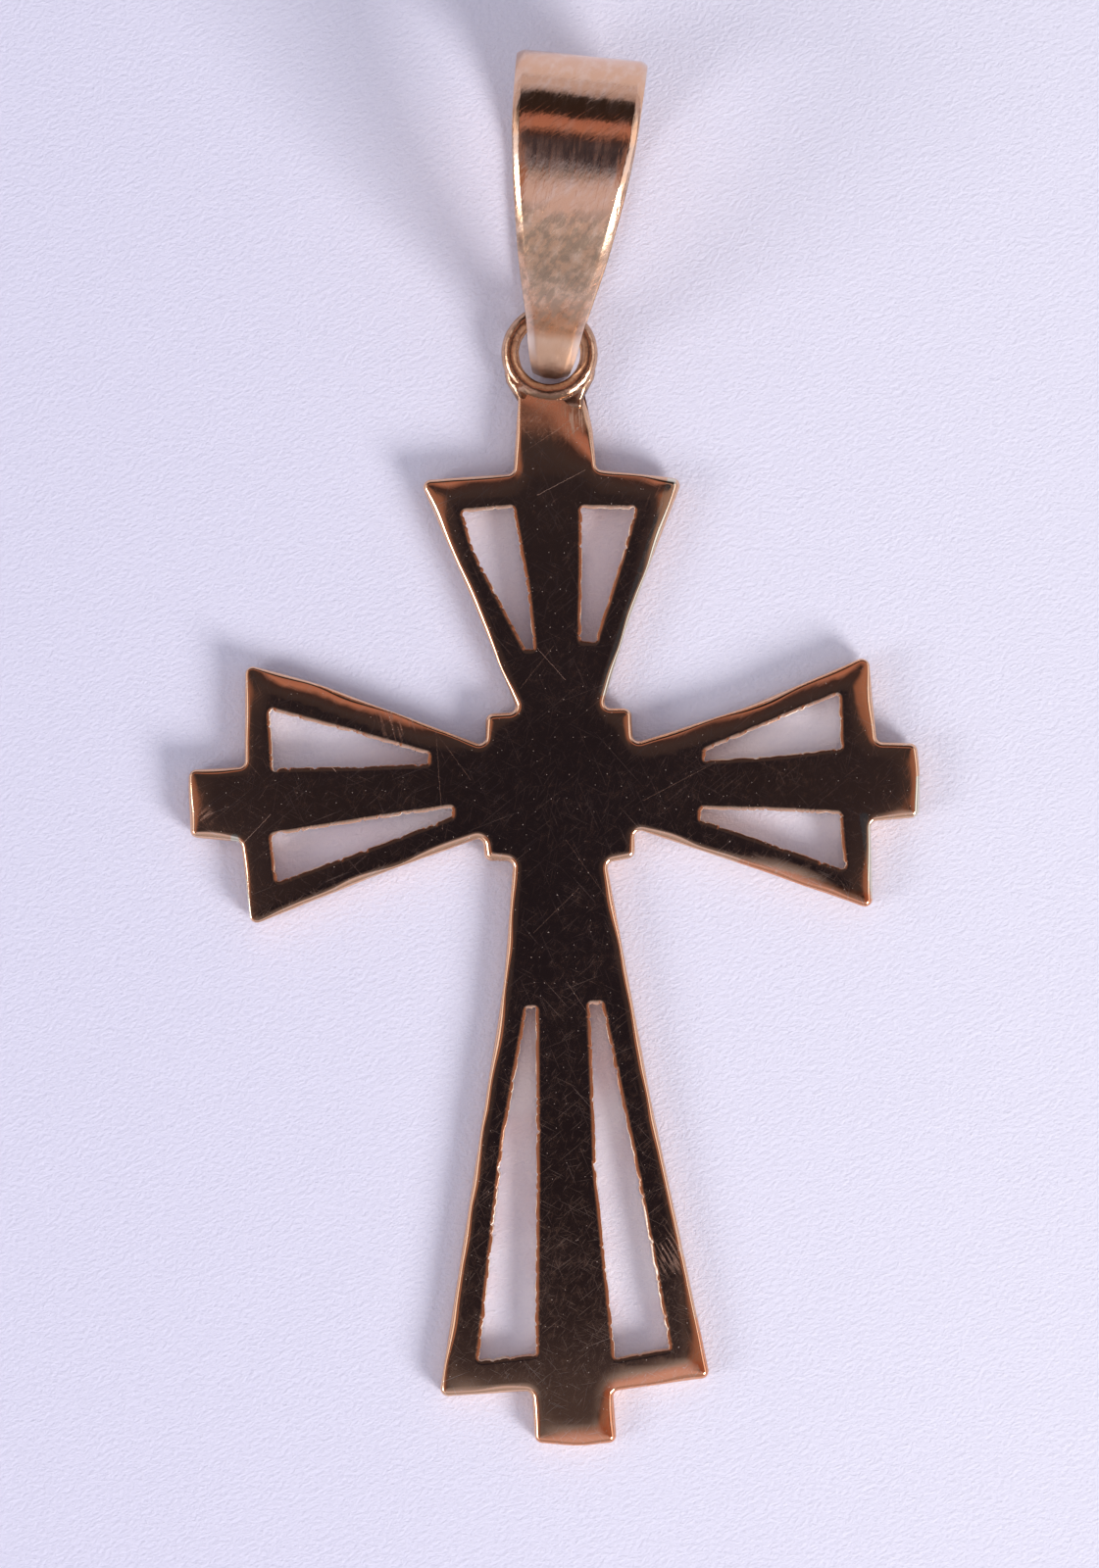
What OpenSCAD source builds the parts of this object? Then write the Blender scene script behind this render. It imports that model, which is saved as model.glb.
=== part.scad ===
// Pierced cross pendant lying on its back, with a soldered wire ring and a bent strip bail.
// X runs across the arms, Y from the foot towards the bail, and Z up from the surface that it lies on.

/* [Plate] */
// Thickness of the sawn plate
plate_t = 1.0; // [0.8:0.05:1.3]
// Radius of the polished rim along the front outline
rim_r = 0.30; // [0.15:0.01:0.32]
// Small chamfer along the back outline
back_chamfer = 0.1; // [0.05:0.01:0.15]
// Angle by which the head lies higher than the foot, because the ring rests on the bail
head_lift = 0.6; // [0.5:0.05:1.0]

/* [Ring] */
// Distance of the ring's centre from the middle of the crossing
ring_y = 17.6; // [17.55:0.05:17.7]
// Radius of the ring, measured to the middle of its wire
ring_r = 1.61; // [1.58:0.01:1.66]
// Radius of the ring's wire
wire_r = 0.36; // [0.32:0.01:0.38]
// Thickness of the solder that fills the joint between ring and neck
solder_t = 0.56; // [0.4:0.02:0.64]

/* [Bail] */
// Thickness of the strip
strip_t = 0.5; // [0.35:0.05:0.5]
// Farthest reach of the loop, measured in line with the strip
bail_len = 13.0; // [12.5:0.1:13.5]
// Radius of the lower bend at the far end
back_r = 4.6; // [4.2:0.1:4.8]
// Radius of the upper bend at the far end
top_r = 4.0; // [3.8:0.1:4.4]
// Radius of the long curve of the front leaf
front_r = 8.0; // [7.8:0.1:8.2]
// Steepest slope of the front leaf
front_slope = 62; // [60:1:64]
// Radius of the closed end that hangs in the ring
end_r = 0.65; // [0.6:0.05:0.75]
// Angle by which the bail leans to the side
bail_lean = 7.2; // [5:0.2:8]
// Clearance between the bail's closed end and the ring
bail_gap = 0.22; // [0.15:0.01:0.28]

/* [Hidden] */

// Number of straight steps along a rounded corner of the outline, and of rounded levels in the rim
CORNER_STEPS = 3;
RIM_STEPS = 3;
// An edge that turns by less than this many degrees has a plain vertex there and no rounding
PLAIN_TURN = 15;
// Share of an edge that the rounding of one of its two ends may take up
ROOM_SHARE = 0.48;
// Arms, and the points that the fans of each flat face start from: the middle and one on each arm
ARMS = 4;
HUBS = ARMS + 1;
// Where on each arm the fan of its flat faces starts, as a part of the distance to the flare's corner
FAN_AT = 0.85;
ROUND_FN = 96;
GOLD = "#c9936b";

// Two half arms each for the top, left, foot and right arm, in that turning order. Each half arm is seen
// looking outward from the crossing: out_ is a distance along the arm and w_ a distance to that side of its
// centre line. The root leaves the square middle, the waist lies on the slanting edge, the corner ends the
// flare, and the shoulder and the tip are the near and far end of the tab, or of the neck on the top arm.
// [turn, side, out_root, w_root, out_waist, w_waist, out_corner, w_corner, out_shoulder, w_shoulder,
// out_tip, w_tip]
HALF_ARMS = [
    [90, -1, 3.05, 1.80, 6.70, 2.99, 12.30, 5.22, 12.80, 1.80, 15.85, 1.34],
    [90, 1, 3.00, 1.64, 7.40, 3.31, 12.48, 5.32, 12.72, 1.60, 15.85, 1.30],
    [180, -1, 3.00, 1.62, 9.82, 4.35, 12.66, 5.10, 12.84, 1.02, 15.12, 0.94],
    [180, 1, 3.18, 2.08, 7.07, 3.37, 12.70, 5.38, 13.06, 2.05, 15.12, 1.81],
    [270, -1, 3.10, 1.98, 7.94, 2.46, 24.86, 5.42, 24.76, 1.74, 26.86, 1.64],
    [270, 1, 3.25, 1.84, 12.67, 3.36, 24.34, 5.46, 24.84, 1.58, 26.94, 1.70],
    [0, -1, 3.00, 1.88, 7.43, 3.47, 12.60, 5.32, 12.64, 1.82, 14.62, 1.70],
    [0, 1, 3.05, 1.60, 7.58, 2.92, 12.66, 4.86, 12.98, 1.42, 14.60, 1.32]
];
// Corners of the square middle that come after the top, left, foot and right arm
MIDDLE = [[-2.96, 2.95], [-3.15, -3.06], [3.00, -3.06], [2.98, 3.02]];
// Farthest point of the bowed end of each arm's tab, in the same order; the neck's end is straight
TAB_REACH = [15.86, 15.16, 27.08, 14.72];
// Corner radii: those that stand out, which exceed the rim's radius, and those that lie in a nook
R_OUTER = 0.38;
R_NOOK = 0.28;

// Slots, one row each, seen as the half arms are: the tip is the narrow end and the base the wide one,
// inner is the side towards the arm's centre line and outer the side towards its edge, and bulge_ is a
// point along that side.
// [turn, side, out_tip, w_tip_inner, w_tip_outer, out_bulge_inner, w_bulge_inner, out_bulge_outer,
// w_bulge_outer,  out_base_inner, w_base_inner, out_base_outer, w_base_outer]
SLOTS = [
    [90, -1, 5.80, 1.00, 1.58, 8.60, 1.11, 8.09, 2.37, 11.24, 1.17, 11.16, 3.34],
    [90, 1, 5.54, 0.94, 1.26, 8.10, 1.15, 9.60, 3.28, 11.32, 1.66, 11.20, 3.70],
    [180, -1, 5.36, 0.96, 1.34, 8.27, 0.92, 8.24, 2.25, 11.66, 0.94, 11.78, 3.30],
    [180, 1, 4.42, 0.86, 1.20, 7.84, 1.29, 7.54, 2.32, 11.82, 1.84, 11.64, 3.72],
    [270, -1, 9.16, 1.20, 1.56, 15.90, 1.33, 14.37, 2.62, 23.28, 1.56, 23.46, 3.86],
    [270, 1, 9.02, 1.02, 1.48, 15.99, 1.12, 14.78, 2.56, 23.52, 1.72, 23.16, 3.92],
    [0, -1, 5.74, 1.16, 1.58, 8.87, 1.31, 9.09, 2.84, 11.38, 1.50, 11.54, 3.76],
    [0, 1, 5.98, 0.84, 1.22, 8.92, 0.94, 8.43, 2.21, 11.50, 1.20, 11.48, 3.40]
];
R_SLOT_TIP = 0.14;
R_SLOT_BASE = 0.26;

// Outline of the solder on both sides of the neck's end, measured from the ring's centre
SOLDER = [
    [-1.25, -2.30], [-1.30, -2.02], [-1.80, -1.14], [-1.90, -0.50],
    [1.90, -0.50], [1.78, -1.10], [1.42, -1.72], [1.31, -1.95], [1.30, -2.30]
];

// Widths of the bail's strip: distance from the closed end, and half the width there
STRIP = [
    [0, 0.50], [0.16, 0.72], [0.45, 0.84], [1.0, 0.98],
    [2.4, 1.25], [5.3, 1.90], [9.2, 2.48], [13.2, 2.68]
];
STRIP_HALF = STRIP[len(STRIP) - 1][1];

ring_hole_r = ring_r - wire_r;
foot_y = -TAB_REACH[2];
bail_y = ring_y - ring_hole_r + bail_gap;

// Centres of the bail's three bends, measured along the strip and up from its back, before it is set at its
// end
back_c = [bail_len - back_r, back_r];
top_c = [bail_len - top_r, back_r];
front_c = [bail_len - top_r, back_r + top_r - front_r];
// Direction that faces out of the straight stretch of the front leaf, and the point where that stretch
// begins
leaf_out = [-sin(front_slope), cos(front_slope)];
leaf_start = front_c + front_r * leaf_out;
// The closed end touches both the straight stretch and the back
end_c = [(leaf_start * leaf_out - end_r * (1 + leaf_out[1])) / leaf_out[0], end_r];
loop_end = end_c[0] - end_r;

// The origin is the middle of the whole pendant's base
shift_x = (TAB_REACH[1] - TAB_REACH[3]) / 2;
far_y = bail_y + (bail_len - loop_end) * cos(bail_lean) + STRIP_HALF * sin(bail_lean);
shift_y = -(far_y + foot_y) / 2;

// A point given along and beside an arm, in the plate's own plane
function on_arm(turn, out, beside) = [
    out * cos(turn) - beside * sin(turn),
    out * sin(turn) + beside * cos(turn)
];

// One half arm as corners [point, radius], from the root to the tip
function half_arm(row) = [
    [on_arm(row[0], row[2], row[1] * row[3]), R_NOOK],
    [on_arm(row[0], row[4], row[1] * row[5]), R_OUTER],
    [on_arm(row[0], row[6], row[1] * row[7]), R_OUTER],
    [on_arm(row[0], row[8], row[1] * row[9]), R_NOOK],
    [on_arm(row[0], row[10], row[1] * row[11]), R_OUTER]
];
function turned_round(list) = [for (i = [len(list) - 1:-1:0]) list[i]];

// The whole outline as corners, anticlockwise: out along one half arm, over the bowed tab, and back along
// the other
function outline_corners() = [
    for (arm = [0:ARMS - 1]) each [
        each half_arm(HALF_ARMS[2 * arm]),
        [on_arm(HALF_ARMS[2 * arm][0], TAB_REACH[arm], 0), R_OUTER],
        each turned_round(half_arm(HALF_ARMS[2 * arm + 1])),
        [MIDDLE[arm], R_OUTER]
    ]
];

function slot_corners(row) = [
    [on_arm(row[0], row[2], row[1] * row[3]), R_SLOT_TIP],
    [on_arm(row[0], row[5], row[1] * row[6]), R_SLOT_BASE],
    [on_arm(row[0], row[9], row[1] * row[10]), R_SLOT_BASE],
    [on_arm(row[0], row[11], row[1] * row[12]), R_SLOT_BASE],
    [on_arm(row[0], row[7], row[1] * row[8]), R_SLOT_BASE],
    [on_arm(row[0], row[2], row[1] * row[4]), R_SLOT_TIP]
];

function unit(v) = v / norm(v);
function left_of(v) = [-v[1], v[0]];
function cross2(a, b) = a[0] * b[1] - a[1] * b[0];

// The points of one corner, moved inward by inset. before and after are the unit directions of the edges
// that meet at the corner. A slight corner stays one vertex. A rounded corner that turns left loses radius
// as it moves in, and one that turns right gains it.
function corner_points(corner, before, after, room, inset) =
    let (turn = atan2(cross2(before, after), before * after))
    abs(turn) < PLAIN_TURN
        ? [corner[0] + inset * (left_of(before) + left_of(after)) / (1 + before * after)]
        : let (half = tan(abs(turn) / 2))
          let (radius = min(corner[1], room / half))
          let (side = sign(turn))
          let (centre = corner[0] - before * radius * half + left_of(before) * side * radius)
          let (out = -side * left_of(before) * (radius - side * inset))
          [
              for (i = [0:CORNER_STEPS])
                  let (a = turn * i / CORNER_STEPS)
                  centre + [out[0] * cos(a) - out[1] * sin(a), out[0] * sin(a) + out[1] * cos(a)]
          ];

// A closed outline with rounded corners, moved inward by inset
function rounded_outline(corners, inset = 0) =
    let (n = len(corners))
    [
        for (i = [0:n - 1])
            let (here = corners[i][0])
            let (back = here - corners[(i + n - 1) % n][0])
            let (ahead = corners[(i + 1) % n][0] - here)
            let (room = ROOM_SHARE * min(norm(back), norm(ahead)))
            each corner_points(corners[i], unit(back), unit(ahead), room, inset)
    ];

// Levels of the plate's wall, from its back to its front: [height, inset]
function wall_levels() = [
    [0, back_chamfer],
    [back_chamfer, 0],
    for (i = [0:RIM_STEPS])
        let (a = 90 * i / RIM_STEPS)
        [plate_t - rim_r * (1 - sin(a)), rim_r * (1 - cos(a))]
];

// The plate before piercing: its outline lofted through the levels of its wall. Back and front are fans of
// triangles about a point on each arm and about the middle of the crossing.
module plate_blank() {
    corners = outline_corners();
    levels = wall_levels();
    rings = [for (level = levels) rounded_outline(corners, level[1])];
    n = len(rings[0]);
    top = len(levels) - 1;
    // Points of the outline from one arm to the next. Those of the root's first and last corner, and those
    // of the middle's corner after them, belong to the fan about the middle.
    arm_n = n / ARMS;
    tail_n = 2 * CORNER_STEPS + 1;
    points = [
        for (k = [0:top]) for (p = rings[k]) [p[0], p[1], levels[k][0]],
        for (k = [0, top]) each [
            [0, 0, levels[k][0]],
            for (arm = [0:ARMS - 1])
                let (hub = on_arm(HALF_ARMS[2 * arm][0], FAN_AT * HALF_ARMS[2 * arm][6], 0))
                [hub[0], hub[1], levels[k][0]]
        ]
    ];
    walls = [
        for (k = [0:top - 1]) for (i = [0:n - 1])
            let (j = (i + 1) % n)
            [k * n + i, (k + 1) * n + i, (k + 1) * n + j, k * n + j]
    ];
    caps = [
        for (end = [0, 1]) for (arm = [0:ARMS - 1])
            let (ring = end * top * n)
            let (middle = (top + 1) * n + end * HUBS)
            let (hub = middle + 1 + arm)
            let (start = arm * arm_n + CORNER_STEPS)
            let (last = (arm + 1) * arm_n - 1 - tail_n)
            let (fans = [
                for (i = [start:last - 1]) [hub, ring + i, ring + i + 1],
                [hub, ring + last, ring + start],
                [middle, ring + start, ring + last],
                for (i = [last:start + arm_n - 1]) [middle, ring + i % n, ring + (i + 1) % n]
            ])
            each [for (face = fans) end == 0 ? face : turned_round(face)]
    ];
    polyhedron(points, concat(walls, caps), convexity = 12);
}

module slots() {
    for (row = SLOTS)
        translate([0, 0, -plate_t])
            linear_extrude(3 * plate_t) polygon(rounded_outline(slot_corners(row)));
}

// The wire ring and the solder that joins it to the neck
module soldered_ring() {
    translate([0, ring_y, plate_t / 2]) {
        rotate_extrude($fn = ROUND_FN) translate([ring_r, 0]) circle(r = wire_r, $fn = ROUND_FN / 2);
        translate([0, 0, -solder_t / 2]) linear_extrude(solder_t) difference() {
            polygon(SOLDER);
            circle(r = ring_r, $fn = ROUND_FN);
        }
    }
}

module cross_plate() {
    color(GOLD)
        translate([shift_x, shift_y + foot_y, 0]) rotate([head_lift, 0, 0]) translate([0, -foot_y, 0])
            union() {
                difference() {
                    plate_blank();
                    slots();
                }
                soldered_ring();
            }
}

// The part of a bend that lies between two directions from its centre
module bend_sector(centre, r, from, to) {
    reach = 2 * r;
    mid = (from + to) / 2;
    intersection() {
        translate(centre) circle(r = r, $fn = ROUND_FN);
        polygon([centre, centre + reach * [cos(from), sin(from)], centre + reach * [cos(mid), sin(mid)],
            centre + reach * [cos(to), sin(to)]]);
    }
}

// The filled loop seen from the side, with its wall moved in by inset
module loop_side(inset) {
    bend_sector(back_c, back_r - inset, -90, 0);
    bend_sector(top_c, top_r - inset, 0, 90);
    bend_sector(front_c, front_r - inset, 90, 90 + front_slope);
    translate(end_c) circle(r = end_r - inset, $fn = ROUND_FN);
    polygon([
        [end_c[0], inset],
        [back_c[0], inset],
        back_c,
        top_c,
        front_c + [0, front_r - inset],
        front_c,
        leaf_start - inset * leaf_out,
        end_c + (end_r - inset) * leaf_out,
        end_c
    ]);
}

module bail() {
    color(GOLD)
        translate([shift_x, shift_y + bail_y, 0]) rotate([0, 0, -bail_lean])
            intersection() {
                translate([0, -loop_end, 0]) rotate([90, 0, 90])
                    linear_extrude(3 * STRIP_HALF, center = true) difference() {
                        loop_side(0);
                        loop_side(strip_t);
                    }
                translate([0, 0, -strip_t]) linear_extrude(back_r + top_r + 2 * strip_t) polygon([
                    for (row = STRIP) [row[1], row[0]],
                    for (row = turned_round(STRIP)) [-row[1], row[0]]
                ]);
            }
}

cross_plate();
bail();
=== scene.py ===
import bpy
import bmesh
import math
import numpy as np
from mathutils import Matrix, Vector, noise
from mathutils.geometry import delaunay_2d_cdt
from mathutils.kdtree import KDTree


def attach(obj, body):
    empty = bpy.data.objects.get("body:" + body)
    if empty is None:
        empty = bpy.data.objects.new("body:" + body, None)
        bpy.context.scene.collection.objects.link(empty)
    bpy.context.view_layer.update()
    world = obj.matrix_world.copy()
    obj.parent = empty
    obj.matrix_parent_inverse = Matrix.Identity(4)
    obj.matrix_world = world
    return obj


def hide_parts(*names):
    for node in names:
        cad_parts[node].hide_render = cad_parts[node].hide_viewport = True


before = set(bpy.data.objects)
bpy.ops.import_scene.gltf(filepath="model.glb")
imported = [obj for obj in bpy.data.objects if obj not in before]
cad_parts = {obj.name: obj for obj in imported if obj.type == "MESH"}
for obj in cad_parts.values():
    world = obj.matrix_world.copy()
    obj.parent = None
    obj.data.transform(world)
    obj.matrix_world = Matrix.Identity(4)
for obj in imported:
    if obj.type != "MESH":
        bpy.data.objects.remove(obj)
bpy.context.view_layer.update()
MM = 0.001

# Sizes in millimetres, mostly the solid part's own
PLATE_T = 1.0
RIM_R = 0.32
BACK_CHAMFER = 0.1
HEAD_LIFT = 0.6
RING_Y, RING_R, WIRE_R = 17.6, 1.61, 0.36
STRIP_T = 0.5
BAIL_LEN, BACK_R, TOP_R, FRONT_R, FRONT_SLOPE, END_R = 13.0, 4.6, 4.0, 8.0, 62.0, 0.65
BAIL_LEAN, BAIL_GAP = 7.2, 0.22

# Half arms of the top, left, foot and right; out_ runs along the arm, w_ to that side of its centre line
# [turn, side, out_root, w_root, out_waist, w_waist, out_corner, w_corner, out_shoulder, w_shoulder,
#  out_tip, w_tip]
HALF_ARMS = [
    [90, -1, 3.05, 1.80, 6.70, 2.99, 12.30, 5.22, 12.80, 1.80, 16.25, 1.33],
    [90, 1, 3.00, 1.64, 7.40, 3.31, 12.48, 5.32, 12.72, 1.60, 16.25, 1.28],
    [180, -1, 3.00, 1.62, 9.82, 4.35, 12.66, 5.10, 12.84, 1.02, 15.12, 0.94],
    [180, 1, 3.18, 2.08, 7.07, 3.37, 12.70, 5.38, 13.06, 2.05, 15.12, 1.81],
    [270, -1, 3.10, 1.98, 7.94, 2.46, 24.86, 5.42, 24.76, 1.74, 26.86, 1.64],
    [270, 1, 3.25, 1.84, 12.67, 3.36, 24.34, 5.46, 24.84, 1.58, 26.94, 1.70],
    [0, -1, 3.00, 1.88, 7.43, 3.47, 12.60, 5.32, 12.64, 1.82, 14.62, 1.70],
    [0, 1, 3.05, 1.60, 7.58, 2.92, 12.66, 4.86, 12.98, 1.42, 14.60, 1.32],
]
MIDDLE = [(-2.96, 2.95), (-3.15, -3.06), (3.00, -3.06), (2.98, 3.02)]
TAB_REACH = [16.26, 15.16, 27.08, 14.72]
NECK_SWELL, NECK_SWELL_R = (14.40, 1.69), 0.5    # where the right side of the neck turns in, on the top arm
# [turn, side, out_tip, w_tip_inner, w_tip_outer, out_bulge_inner, w_bulge_inner, out_bulge_outer,
#  w_bulge_outer, out_base_inner, w_base_inner, out_base_outer, w_base_outer]
SLOTS = [
    [90, -1, 5.80, 1.00, 1.58, 8.60, 1.11, 8.09, 2.37, 11.24, 1.17, 11.16, 3.34],
    [90, 1, 5.54, 0.94, 1.26, 8.10, 1.15, 9.60, 3.28, 11.32, 1.66, 11.20, 3.70],
    [180, -1, 5.36, 0.96, 1.34, 8.27, 0.92, 8.24, 2.25, 11.66, 0.94, 11.78, 3.30],
    [180, 1, 4.42, 0.86, 1.20, 7.84, 1.29, 7.54, 2.32, 11.82, 1.84, 11.64, 3.72],
    [270, -1, 9.16, 1.20, 1.56, 15.90, 1.33, 14.37, 2.62, 23.28, 1.56, 23.46, 3.86],
    [270, 1, 9.02, 1.02, 1.48, 15.99, 1.12, 14.78, 2.56, 23.52, 1.72, 23.16, 3.92],
    [0, -1, 5.74, 1.16, 1.58, 8.87, 1.31, 9.09, 2.84, 11.38, 1.50, 11.54, 3.76],
    [0, 1, 5.98, 0.84, 1.22, 8.92, 0.94, 8.43, 2.21, 11.50, 1.20, 11.48, 3.40],
]
# Outline of the solder from the ring's centre: [x, y]
SOLDER = [(-1.25, -2.30), (-1.30, -2.02), (-1.80, -1.14), (-1.90, -0.50), (1.90, -0.50), (1.78, -1.10),
          (1.42, -1.72), (1.31, -1.95), (1.30, -2.30)]
# Half the strip's width along it: [distance from the closed end, half width]
STRIP = [(0, 0.50), (0.16, 0.72), (0.45, 0.84), (1.0, 0.98), (2.4, 1.25), (5.3, 1.90), (9.2, 2.48),
         (13.2, 2.68)]
STRIP_HALF = STRIP[-1][1]

# Corner radii: those that stand out, those in a nook, and the slow turn of a filed edge
R_OUTER, R_NOOK, R_SLOW = 0.32, 0.26, 14.0
R_SLOT_TIP, R_SLOT_BASE, R_SOLDER = 0.10, 0.13, 0.25
# How far the sharp corner of a flare lies beyond its rounded one, across the arm and along it
CORNER_ACROSS, CORNER_ALONG = 0.11, 0.055
EDGE_SHARE = 0.45    # how much of an edge the rounding of one of its ends may take up
ARC_TURN = 12.0    # most degrees between two samples of a rounding

rad = math.radians
RING_HOLE = RING_R - WIRE_R
FOOT_Y = -TAB_REACH[2]
BAIL_Y = RING_Y - RING_HOLE + BAIL_GAP
back_c = Vector((BAIL_LEN - BACK_R, BACK_R))
top_c = Vector((BAIL_LEN - TOP_R, BACK_R))
front_c = Vector((BAIL_LEN - TOP_R, BACK_R + TOP_R - FRONT_R))
leaf_out = Vector((-math.sin(rad(FRONT_SLOPE)), math.cos(rad(FRONT_SLOPE))))
leaf_start = front_c + FRONT_R * leaf_out
end_c = Vector(((leaf_start.dot(leaf_out) - END_R * (1 + leaf_out.y)) / leaf_out.x, END_R))
LOOP_END = end_c.x - END_R
SHIFT_X = (TAB_REACH[1] - TAB_REACH[3]) / 2
FAR_Y = BAIL_Y + (BAIL_LEN - LOOP_END) * math.cos(rad(BAIL_LEAN)) + STRIP_HALF * math.sin(rad(BAIL_LEAN))
SHIFT_Y = -(FAR_Y + FOOT_Y) / 2


def plate_place(x, y, z):
    """A point of the flat plate, as it lies: pitched about the foot's line, in metres."""
    a = rad(HEAD_LIFT)
    along = y - FOOT_Y
    return Vector((x + SHIFT_X, along * math.cos(a) - z * math.sin(a) + SHIFT_Y + FOOT_Y,
                   along * math.sin(a) + z * math.cos(a))) * MM


def bail_place(across, along, up):
    """A point of the bail, along counted from its closed end, in metres."""
    a = rad(BAIL_LEAN)
    return Vector((across * math.cos(a) + along * math.sin(a) + SHIFT_X,
                   along * math.cos(a) - across * math.sin(a) + SHIFT_Y + BAIL_Y, up)) * MM


def wobble(x, y, size, seed=0.0):
    """Smooth noise from -1 to 1 with features of about that size."""
    return noise.noise(Vector((x / size, y / size, seed)))


# Outlines of the plate and its slots
def on_arm(turn, out, beside):
    c, s = round(math.cos(rad(turn))), round(math.sin(rad(turn)))
    return Vector((out * c - beside * s, out * s + beside * c))


def half_arm(row):
    turn, side = row[:2]
    radii = (R_NOOK, R_SLOW, R_OUTER, R_NOOK, R_OUTER)
    corners = []
    for i, r in enumerate(radii):
        out, beside = row[2 + 2 * i:4 + 2 * i]
        if i == 2:
            out, beside = out + CORNER_ALONG, beside + CORNER_ACROSS
        corners.append((on_arm(turn, out, side * beside), r))
    return corners


def plate_corners():
    corners = []
    for arm, (reach, middle) in enumerate(zip(TAB_REACH, MIDDLE)):
        one, other = HALF_ARMS[2 * arm:2 * arm + 2]
        corners += half_arm(one)
        if arm == 0:
            corners.insert(-1, (on_arm(one[0], NECK_SWELL[0], -NECK_SWELL[1]), NECK_SWELL_R))
        corners.append((on_arm(one[0], reach, 0), R_SLOW))
        corners += half_arm(other)[::-1]
        corners.append((Vector(middle), R_OUTER))
    return corners


def anticlockwise(corners):
    area = sum(corners[i - 1][0].cross(corners[i][0]) for i in range(len(corners)))
    return corners if area > 0 else corners[::-1]


def slot_corners(row):
    turn, side = row[:2]
    spots = ((2, 3, R_SLOT_TIP), (5, 6, R_SLOW), (9, 10, R_SLOT_BASE), (11, 12, R_SLOT_BASE), (7, 8, R_SLOW),
             (2, 4, R_SLOT_TIP))
    return anticlockwise([(on_arm(turn, row[o], side * row[w]), r) for o, w, r in spots])


def left_of(v):
    return Vector((-v.y, v.x))


class Outline:
    """A closed outline with rounded corners, sampled finely. at(inset) moves all of its samples inward."""

    def __init__(self, corners, step):
        n = len(corners)
        points = [c[0] for c in corners]
        ahead = [(points[(i + 1) % n] - points[i]) for i in range(n)]
        length = [v.length for v in ahead]
        ahead = [v.normalized() for v in ahead]
        turn = [math.atan2(ahead[i - 1].cross(ahead[i]), ahead[i - 1].dot(ahead[i])) for i in range(n)]
        half = [math.tan(abs(t) / 2) for t in turn]
        radius = [min(corners[i][1], EDGE_SHARE * min(length[i - 1], length[i]) / max(half[i], 1e-6))
                  for i in range(n)]
        self.samples = []
        for i in range(n):
            b, a = ahead[i - 1], ahead[i]
            side = 1 if turn[i] > 0 else -1
            r = radius[i]
            centre = points[i] - b * r * half[i] + left_of(b) * side * r
            steps = max(4, math.ceil(abs(turn[i]) * r / step), math.ceil(abs(turn[i]) / rad(ARC_TURN)))
            mitre = (left_of(b) + left_of(a)) / (1 + b.dot(a))
            out = -side * left_of(b)
            for k in range(steps + 1):
                t = turn[i] * k / steps
                c, s = math.cos(t), math.sin(t)
                d = Vector((out.x * c - out.y * s, out.x * s + out.y * c))
                self.samples.append(("arc", points[i], centre, r, side, d, mitre))
            j = (i + 1) % n
            start, stop = r * half[i], length[i] - radius[j] * half[j]
            count = max(1, math.ceil((stop - start) / step))
            held = (half[i] if turn[i] > 0 else 0, half[j] if turn[j] > 0 else 0)
            for k in range(1, count):
                t = start + (stop - start) * k / count
                self.samples.append(("edge", points[i], a, t, length[i], held))

    def point(self, sample, inset):
        if sample[0] == "arc":
            _, corner, centre, r, side, d, mitre = sample
            if side > 0 and inset >= r:
                return corner + mitre * inset
            return centre + d * (r - side * inset)
        _, corner, a, t, length, held = sample
        t = min(max(t, max(inset, 0) * held[0]), length - max(inset, 0) * held[1])
        return corner + a * t + left_of(a) * inset

    def at(self, inset):
        """inset is one number, or a list with one for each sample."""
        many = inset if hasattr(inset, "__len__") else [inset] * len(self.samples)
        return [self.point(s, d) for s, d in zip(self.samples, many)]


# Meshes
def new_object(name, data):
    obj = bpy.data.objects.new(name, data)
    bpy.context.collection.objects.link(obj)
    return obj


class Builder:
    """Collects vertices and faces, each face with its material, and makes one object of them."""

    def __init__(self):
        self.verts, self.faces, self.mats = [], [], []

    def ring(self, points):
        first = len(self.verts)
        self.verts += points
        return range(first, len(self.verts))

    def face(self, face, mat=0):
        self.faces.append(face)
        self.mats.append(mat)

    def band(self, low, high, mat=0, flip=False):
        """The faces between two closed rings of as many vertices."""
        n = len(low)
        for i in range(n):
            j = (i + 1) % n
            face = (low[i], low[j], high[j], high[i])
            self.face(face[::-1] if flip else face, mat)

    def bands(self, rings, mat=0, flip=False):
        for low, high in zip(rings, rings[1:]):
            self.band(low, high, mat, flip)

    def object(self, name, materials, merge=1e-7):
        """The finished object. Vertices closer than merge, in metres, become one."""
        mesh = bpy.data.meshes.new(name)
        mesh.from_pydata([tuple(v) for v in self.verts], [], self.faces)
        for m in materials:
            mesh.materials.append(m)
        mesh.polygons.foreach_set("material_index", self.mats)
        mesh.polygons.foreach_set("use_smooth", [True] * len(self.mats))
        bm = bmesh.new()
        bm.from_mesh(mesh)
        bmesh.ops.remove_doubles(bm, verts=bm.verts, dist=merge)
        bmesh.ops.dissolve_degenerate(bm, edges=bm.edges, dist=merge)
        bm.to_mesh(mesh)
        bm.free()
        mesh.validate()
        return new_object(name, mesh)


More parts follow.
